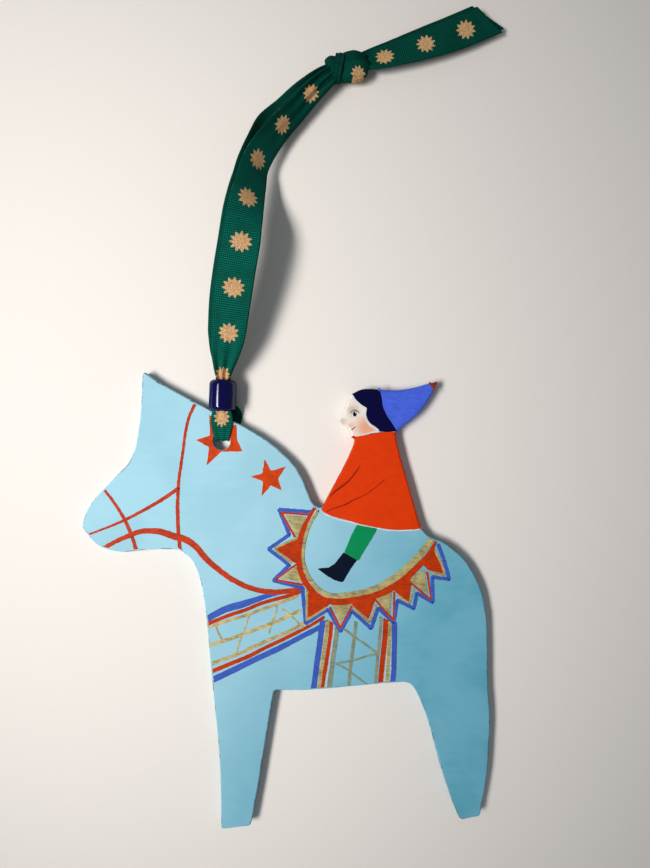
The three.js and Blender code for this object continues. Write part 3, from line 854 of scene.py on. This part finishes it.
LEAN = math.radians(2)
HOLE = (-17.5, 43.1)
along_lean = Vector((math.sin(LEAN), math.cos(LEAN), 0))
across_lean = Vector((math.cos(LEAN), -math.sin(LEAN), 0))
BEAD_RADIUS = (bead_high.z - bead_low.z) / MM / 2
bead_centre = (bead_low + bead_high) / MM / 2
BEAD_MIDDLE = (bead_centre - Vector((*HOLE, 0))).dot(along_lean)
BEAD_HALF = 4.2
BEAD_TOP = BEAD_MIDDLE + BEAD_HALF
BORE_RADIUS = 2.3


def hang(across, along, height):
    """A point by its distances across and along the ribbon's line from the hole, and its height above the
    table."""
    return Vector((*HOLE, 0)) + across_lean * across + along_lean * along + Vector((0, 0, height))


def make_bead():
    profile = [(BORE_RADIUS + 0.35 * math.cos(a) + 0.35, BEAD_HALF - 0.35 + 0.35 * math.sin(a))
               for a in (math.pi, 0.75 * math.pi, 0.5 * math.pi)]
    profile += [(BEAD_RADIUS - 1.25 + 1.25 * math.cos(a), BEAD_HALF - 1.25 + 1.25 * math.sin(a))
                for a in (math.pi / 2 * (1 - k / 9) for k in range(1, 10))]
    profile += [(BEAD_RADIUS * (1 + 0.004 * k), 0.6 * (2 - k)) for k in (1, 2)]
    profile += [(r, -v) for r, v in profile[-2::-1]]
    points, faces, around = [], [], 64
    for k in range(around):
        turn = 2 * math.pi * k / around
        for radius, along in profile:
            radius += 0.03 * wobble(2 * math.cos(turn), 2 * math.sin(turn) + along, 1.7, 9)
            height = BEAD_RADIUS + radius * math.sin(turn)
            points.append(hang(radius * math.cos(turn), BEAD_MIDDLE + along, height))
    count = len(profile)
    for k in range(around):
        for i in range(count):
            j, n = (i + 1) % count, (k + 1) % around
            faces.append((k * count + i, k * count + j, n * count + j, n * count + i))
    return make_piece("cobalt_bead", points, faces, bead_finish())


bead = make_bead()
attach(bead, "bead")
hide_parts("glass_bead")
print("bead middle", round(BEAD_MIDDLE, 2), "mm from the hole")

# %% [markdown]
# ## Ribbon
# The ribbon is a narrow dark green cotton tape with a fine cross rib, printed with gold stars of eleven
# points. Both strands start inside the bead, where the tape is crumpled into pleats, open out to their full
# width and roll onto their side before the knot. A strand is built as one long grid: a list of stations
# gives its middle line, its width, how far it is rolled and how deep its pleats are. The grid's own
# coordinates, in millimetres across and along the tape, are kept as a UV map, so the weave and the stars
# follow the cloth through every turn.

# %% Ribbon finish
TAPE_WIDTH = 9.0
TAPE_THICKNESS = 0.22
STAR_PITCH = 11.7
STAR_RADIUS = 2.75
STAR_POINTS = 11
PLAIN_SIDE = 18  # how far across the unprinted side is moved, past every star


def tape_finish():
    finish = Finish("green_tape_with_gold_stars")
    tape_place = finish.add("ShaderNodeTexCoord", output="UV")
    spot = finish.add("ShaderNodeSeparateXYZ", inputs={0: tape_place}, output="X")
    across = 100 * spot
    along = 100 * Value(finish, spot.socket.node.outputs["Y"])
    rib = finish.math("SINE", along * (2 * math.pi / 0.56)) * 0.5 + 0.5
    yarn = finish.math("SINE", across * (2 * math.pi / 0.45)) * 0.5 + 0.5
    cloth = finish.noise(0.35, (1, 1, 1), 3.0)
    wear = finish.noise(4.0, (1, 1, 1), 3.0)
    weave = rib * 0.6 + yarn * 0.4
    to_star = finish.math("WRAP", along, STAR_PITCH / 2, -STAR_PITCH / 2)
    turn = finish.math("ARCTAN2", across, to_star)
    fold = finish.math("PINGPONG", turn, math.pi / STAR_POINTS)
    reach = finish.math("SQRT", across * across + to_star * to_star)
    tooth = (fold / (math.pi / STAR_POINTS)) * 0.36 + 0.02 * cloth
    edge = STAR_RADIUS * (1.0 - tooth)
    star = (edge - reach).step(-0.10, 0.10)
    star = star * (0.55 * cloth + 0.45 * weave).step(0.20, 0.36)
    thread = finish.mix(weave.step(0.15, 0.85), colour(0.0002, 0.034, 0.022), colour(0.0035, 0.150, 0.106))
    thread = finish.mix(0.5 * wear.step(0.45, 0.7), thread, colour(0.003, 0.062, 0.040))
    # Painted shade: the tape is darker from about 70 mm along its print onwards, which takes in the rolled
    # stretch, the knot and the tails.
    painted_shade_knot_and_tails = along.step(70, 84)
    thread = finish.mix(0.45 * painted_shade_knot_and_tails, thread, colour(0.0002, 0.018, 0.010))
    # Darker along both edges of the tape. The unprinted side lies PLAIN_SIDE across, wholly inside this band,
    # so all of it comes out darker: painted shade on the back of the tape.
    dark_edges_and_shaded_back = (finish.math("ABSOLUTE", across) - 4.05).step(0.0, 0.25)
    thread = finish.mix(0.45 * dark_edges_and_shaded_back, thread, colour(0.001, 0.028, 0.020))
    gilt = finish.mix(cloth.step(0.35, 0.65), colour(0.48, 0.27, 0.115), colour(0.72, 0.44, 0.225))
    relief = 0.75 * weave + 0.25 * cloth
    return finish.done(Base_Color=finish.mix(star, thread, gilt), Roughness=0.88 - 0.35 * star,
                       Normal=finish.bump(relief, 0.10), Specular_IOR_Level=0.04)


tape = tape_finish()


# %% Tape mesh
def make_tape(name, stations, sheet=1, cut=0.0, start_along=0.0, across_steps=22):
    """A length of tape. Each station is (point, side, width, pleat, printed): its middle, the direction
    that its width takes, its width on show, the height of the pleats that take up the rest, and how far
    along the print is moved there. Sheet is 1 where the printed side faces up and -1 where it faces down,
    and cut slants the far end by that many millimetres on either side."""
    travelled, line = [start_along], [s[0] for s in stations]
    for a, b in zip(line, line[1:]):
        travelled.append(travelled[-1] + (b - a).length)
    faces, tops, bottoms, uvs = [], [], [], ([], [])
    for i, (middle, side, width, pleat, printed) in enumerate(stations):
        along = (line[min(i + 1, len(line) - 1)] - line[max(i - 1, 0)]).normalized()
        side = (side - along * side.dot(along)).normalized()
        up = side.cross(along)
        for k in range(across_steps + 1):
            s = 2 * k / across_steps - 1
            shear = cut * s * max(0.0, 1 - (travelled[-1] - travelled[i]) / 14) ** 2
            wave = pleat * math.cos(2.5 * math.pi * s + 0.9)
            wave += (0.07 * wobble(s * 2.5, travelled[i], 3.0, 11 * sheet)
                     + 0.02 * wobble(k, travelled[i], 0.9, 2))
            spot = middle + side * (s * width / 2) + along * shear + up * wave
            half = TAPE_THICKNESS / 2 * (1 - 0.5 * abs(s) ** 12)
            tops.append(spot + up * half)
            bottoms.append(spot - up * half)
            across = s * min(TAPE_WIDTH, 1.25 * width) / 2
            for plain, rows_uvs in zip((sheet < 0, sheet > 0), uvs):
                rows_uvs.append(((across + PLAIN_SIDE * plain) / 100, (travelled[i] + printed + shear) / 100))
    row, rows, count = across_steps + 1, len(stations), len(tops)
    for i in range(rows - 1):
        for k in range(across_steps):
            a, b, c, d = i * row + k, i * row + k + 1, (i + 1) * row + k + 1, (i + 1) * row + k
            faces += [(a, b, c, d), (count + d, count + c, count + b, count + a)]
        for k, flip in ((0, False), (across_steps, True)):
            a, d = i * row + k, (i + 1) * row + k
            faces.append((a, d, count + d, count + a) if not flip else (d, a, count + a, count + d))
    for i, flip in ((0, True), (rows - 1, False)):
        for k in range(across_steps):
            a, b = i * row + k, i * row + k + 1
            faces.append((a, b, count + b, count + a) if not flip else (b, a, count + a, count + b))
    piece = make_piece(name, tops + bottoms, faces, tape)
    layer = piece.data.uv_layers.new(name="tape")
    for loop in piece.data.loops:
        layer.data[loop.index].uv = uvs[loop.vertex_index // count][loop.vertex_index % count]
    return piece, travelled[-1] - start_along


# %% [markdown]
# ## Two strands and their tails
# Each strand is one piece from the bead, through the knot, to its slanted cut end. The two lie on each
# other, with the back one set a little to the left, so its edge shows along the front one. Each strand is
# 14 cm long from the bead to the cut end. Near the bead the cloth runs between two moving pieces, the
# ribbon and the bead.

# %% Route of the strands
# across, along from the bead's upper end, height, width, roll in degrees, pleat height
STRAND_LINE = [
    (0.0, -3.9, 3.7, 3.3, 0, 0.35),
    (0.1, 0.6, 4.2, 3.7, 0, 0.5),
    (0.5, 3.6, 5.9, 5.6, 0, 0.45),
    (1.0, 7.0, 7.6, 7.6, 2, 0.25),
    (1.8, 11.7, 9.2, 9.0, 3, 0.1),
    (2.7, 19.9, 11.3, 9.9, 3, 0.0),
    (3.7, 27.4, 12.6, 10.1, 2, 0.0),
    (4.7, 34.5, 13.0, 10.1, 2, 0.0),
    (5.1, 39.9, 12.3, 9.8, 6, 0.0),
    (5.5, 45.4, 10.6, 9.5, 22, 0.0),
    (6.2, 51.4, 8.6, 9.4, 38, 0.0),
    (7.0, 56.9, 7.3, 9.2, 47, 0.0),
    (8.9, 61.3, 6.9, 9.0, 51, 0.05),
    (12.6, 67.0, 6.3, 8.2, 52, 0.1),
    (16.8, 72.1, 5.6, 7.0, 48, 0.15),
    (21.0, 77.6, 4.9, 6.0, 34, 0.3),
    (24.9, 81.8, 4.3, 5.0, 14, 0.5),
    (28.6, 84.7, 3.7, 3.6, 0, 0.4),
    (33.1, 86.5, 3.4, 3.4, 0, 0.5),
    (38.4, 88.2, 3.2, 5.6, -4, 0.16),
    (43.6, 90.0, 3.0, 7.0, -6, 0.10),
    (51.4, 92.9, 2.8, 8.4, -4, 0.05),
    (60.0, 96.4, 2.5, 9.0, 0, 0.0),
    (68.8, 100.6, 2.2, 9.0, 2, 0.0),
]
TAKEN_UP = 1.3  # of tape, by the roll at the top of the arch


def strand_stations(line, sheet):
    stations = []
    points = smooth_line(line, 0.55)
    places = [hang(p[0], BEAD_TOP + p[1], p[2]) for p in points]
    for i, (p, place) in enumerate(zip(points, places)):
        along = (places[min(i + 1, len(places) - 1)] - places[max(i - 1, 0)]).normalized()
        level = along.cross(Vector((0, 0, 1))).normalized()
        up = level.cross(along)
        parting = math.exp(-((p[1] - 71) / 7) ** 2) if sheet < 0 else 0.0
        roll = math.radians(p[4] - 52 * parting)
        side = level * math.cos(roll) - up * math.sin(roll)
        lift = side.cross(along)
        gap = 0.2 if p[1] > 8 else 0.9 - 0.7 * max(0.0, p[1]) / 8
        shift = -0.9 * min(1.0, max(0.0, (p[1] - 4) / 8)) if sheet < 0 else 0.0
        spot = place + lift * gap * sheet + side * shift - level * 2.0 * parting - up * 1.5 * parting
        printed = -TAKEN_UP * min(1.0, max(0.0, (p[1] - 36) / 12))
        stations.append((spot, side, p[3], p[5], printed))
    return stations


def make_strand(name, sheet, stars_from):
    stations = strand_stations(STRAND_LINE, sheet)
    piece, length = make_tape(name, stations, sheet, cut=2.4 - 0.5 * sheet, start_along=stars_from)
    middle = [s[0] * MM for s in stations]
    print(name, round(length, 1), "mm")
    return piece, middle


front_strand, front_line = make_strand("front_strand", 1, 6.5)
back_strand, back_line = make_strand("back_strand", -1, 9.0)

# %% [markdown]
# ## Loop through the hole
# Between the bead and the hole the tape lies flat on the painted face. It dives through the hole, comes
# back up behind the board, bends round the board's top edge a little to the right, and goes into the bead
# again. It is one piece, from the bead round to the bead.

# %% Loop
# across, along, height, width, pleat height
LOOP_LINE = [
    (0.0, 12.4, 4.75, 3.4, 0.25),
    (0.0, 9.6, 4.65, 4.0, 0.25),
    (0.0, 8.0, 4.25, 5.1, 0.16),
    (0.0, 5.6, 3.88, 6.0, 0.05),
    (0.05, 2.9, 3.80, 5.2, 0.08),
    (0.1, 1.2, 3.66, 4.4, 0.12),
    (0.1, 0.5, 3.1, 3.9, 0.12),
    (0.1, 0.2, 2.0, 3.8, 0.10),
    (0.1, 0.6, 0.9, 3.8, 0.05),
    (0.2, 2.0, 0.26, 4.2, 0.0),
    (0.7, 4.0, 0.25, 5.6, 0.0),
    (1.6, 6.0, 0.25, 6.4, 0.0),
    (2.0, 7.3, 0.40, 6.2, 0.0),
    (2.0, 8.2, 1.2, 5.4, 0.10),
    (1.6, 9.0, 2.0, 4.2, 0.20),
    (0.8, 10.0, 2.6, 3.5, 0.25),
    (0.0, 12.4, 2.75, 3.3, 0.25),
]


def make_loop():
    stations = []
    points = smooth_line(LOOP_LINE, 0.3)
    places = [hang(*p[:3]) for p in points]
    for p, place in zip(points, places):
        stations.append((place, across_lean * -1, p[3], p[4], 0))
    return make_tape("loop_through_hole", stations, 1, start_along=-6.1, across_steps=16)


loop, loop_length = make_loop()
print("loop", round(loop_length, 1), "mm")

# %% [markdown]
# ## Knot
# The two tails are tied in one overhand knot. Seen from above it is a fat fold of tape, with a band that
# wraps across it on the bead's side and a small lobe beyond the band. The folds are squashed balls with
# pleats pressed into them, and the band is a short tape bent into a ring.

# %% Knot
knot_low, knot_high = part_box("ribbon_knot")
knot_centre = (knot_low + knot_high) / MM / 2
KNOT_TURN = math.radians(16)
STRETCH = 1.3


def make_fold(name, centre, half_sizes, turn, pleats, star_at):
    """A squashed ball of tape with pleats along it. A printed star shows on top, star_at millimetres off
    centre."""
    points, faces, uvs = [], [], []
    around, down = 48, 24
    for i in range(down + 1):
        tilt = math.pi * i / down
        for k in range(around):
            spin = 2 * math.pi * k / around
            p = Vector((math.sin(tilt) * math.cos(spin), math.sin(tilt) * math.sin(spin), math.cos(tilt)))
            pleat = 1 + pleats * math.cos(9 * p.y + 2.2 * p.x) * (1 - abs(p.z) * 0.5)
            pleat += 0.06 * wobble(p.x * 3, p.y * 3 + p.z, 1.4, 20 + centre[0])
            p = Vector((p.x * half_sizes[0], p.y * half_sizes[1], p.z * half_sizes[2])) * pleat
            across, along = STRETCH * (p.y + star_at[1]), STRETCH * (p.x + star_at[0])
            uvs.append((across / 100, (along + 8 * STAR_PITCH) / 100))
            turned_x = p.x * math.cos(turn) - p.y * math.sin(turn)
            turned_y = p.x * math.sin(turn) + p.y * math.cos(turn)
            p = Vector((turned_x, turned_y, p.z))
            p += Vector(centre)
            points.append((p.x, p.y, max(p.z, 0.06)))
    for i in range(down):
        for k in range(around):
            n = (k + 1) % around
            faces.append((i * around + k, (i + 1) * around + k, (i + 1) * around + n, i * around + n))
    piece = make_piece(name, points, faces, tape)
    layer = piece.data.uv_layers.new(name="tape")
    for loop_corner in piece.data.loops:
        layer.data[loop_corner.index].uv = uvs[loop_corner.vertex_index]
    return piece


def make_band(name, centre, half_sizes, turn, lean, width):
    """Tape wrapped once round the knot."""
    stations = []
    axis = Vector((math.cos(turn), math.sin(turn), 0))
    wide = Vector((-math.sin(turn), math.cos(turn), 0))
    steps = 56
    for i in range(steps + 1):
        a = 2 * math.pi * i / steps
        rise = Vector((0, 0, half_sizes[1] * math.cos(a)))
        place = Vector(centre) + wide * (half_sizes[0] * math.sin(a)) + rise
        place += axis * (lean * math.sin(a))
        place.z = max(place.z, 0.25)
        stations.append((place, axis, width, 0.10, 0))
    piece, _ = make_tape(name, stations, -1, start_along=80, across_steps=12)
    return piece


big_middle = knot_centre + Vector((1.5, 0.3, 0))
big_fold = make_fold("knot_big_fold", big_middle, (4.9, 4.2, 2.9), KNOT_TURN, 0.05, (-0.8, 3.3))
small_middle = knot_centre + Vector((-3.6, 0.6, -0.3))
small_fold = make_fold("knot_small_fold", small_middle, (2.1, 2.9, 2.3), 0.5, 0.06, (6, 12))
band = make_band("knot_band", knot_centre + Vector((-2.1, -0.1, 0)), (3.75, 3.0), math.radians(4), 1.0, 2.6)
knot = [big_fold, small_fold, band]

# %% The ribbon's place in the frame
for piece in knot:
    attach(piece, "ribbon")
    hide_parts("ribbon_knot")
stretch_start = hang(0, BEAD_TOP - 0.4, 4) * MM
stretch_end = hang(2, BEAD_TOP + 62, 4) * MM
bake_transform(front_strand)
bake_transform(back_strand)
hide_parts("ribbon_front_strand", "ribbon_front_tail")
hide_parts("ribbon_back_strand", "ribbon_back_tail")
BEAD_FOOT = BEAD_MIDDLE - BEAD_HALF
hang(0, BEAD_FOOT - 1.6, 4) * MM
hang(0, BEAD_FOOT, 4) * MM
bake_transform(loop)
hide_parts("ribbon_loop")

# %% [markdown]
# ## Table and light
# The ornament lies on warm white paper. A long soft light stands to the left, at about 58 degrees above the
# paper, and is narrowed so that the paper is brightest on that side. It draws a thin shadow along every
# right-hand edge and a wide one under the raised ribbon. The rest of the room is a dim even glow.

# %% Paper and lights


def paper_finish():
    finish = Finish("warm_white_paper")
    fibres = finish.noise(0.7, (1, 1, 1), 4.0)
    shade = finish.mix(fibres.step(0.3, 0.7), colour(0.825, 0.772, 0.722), colour(0.84, 0.787, 0.737))
    return finish.done(Base_Color=shade, Roughness=0.9, Normal=finish.bump(fibres, 0.008),
                       Specular_IOR_Level=0.2)


PAPER = 1500
paper = make_piece("paper", [(-PAPER, -PAPER, 0), (PAPER, -PAPER, 0), (PAPER, PAPER, 0), (-PAPER, PAPER, 0)],
                   [(0, 1, 2, 3)], paper_finish(), smooth=False)
paper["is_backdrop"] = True


def area_light(name, place, target, width, length, power, spread=180, tint=(1, 1, 1)):
    """A flat light in millimetres that shines from its place towards the target. Its length lies level."""
    data = bpy.data.lights.new(name, "AREA")
    data.shape, data.size, data.size_y = "RECTANGLE", length * MM, width * MM
    data.energy, data.color, data.spread = power, tint, math.radians(spread)
    lamp = bpy.data.objects.new(name, data)
    lamp.location = Vector(place) * MM
    lamp.rotation_euler = (Vector(target) - Vector(place)).to_track_quat("-Z", "Y").to_euler()
    scene.collection.objects.link(lamp)
    return lamp


KEY_TARGET = (-40, 60, 0)
KEY_DISTANCE = 520
key_direction = Vector((-math.cos(math.radians(58)), -0.12, math.sin(math.radians(58)))).normalized()
key_place = Vector(KEY_TARGET) + key_direction * KEY_DISTANCE
area_light("key_light", key_place, KEY_TARGET, 120, 330, 0.34, spread=49, tint=(1.0, 0.985, 0.965))

world = bpy.data.worlds.new("room")
world.use_nodes = True
background = world.node_tree.nodes["Background"]
background.inputs["Color"].default_value = (0.84, 0.91, 1.0, 1)
background.inputs["Strength"].default_value = 0.21
scene.world = world
scene.view_settings.view_transform = "Standard"
scene.view_settings.look = "None"
scene.view_settings.exposure = 0.0

# %% Sizes, and the end
sizes["with_looks"] = [list(corner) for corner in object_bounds()]
print("grows by", [[round((a - b) / MM, 1) for a, b in zip(*pair)] for pair in zip(*sizes.values())], "mm")
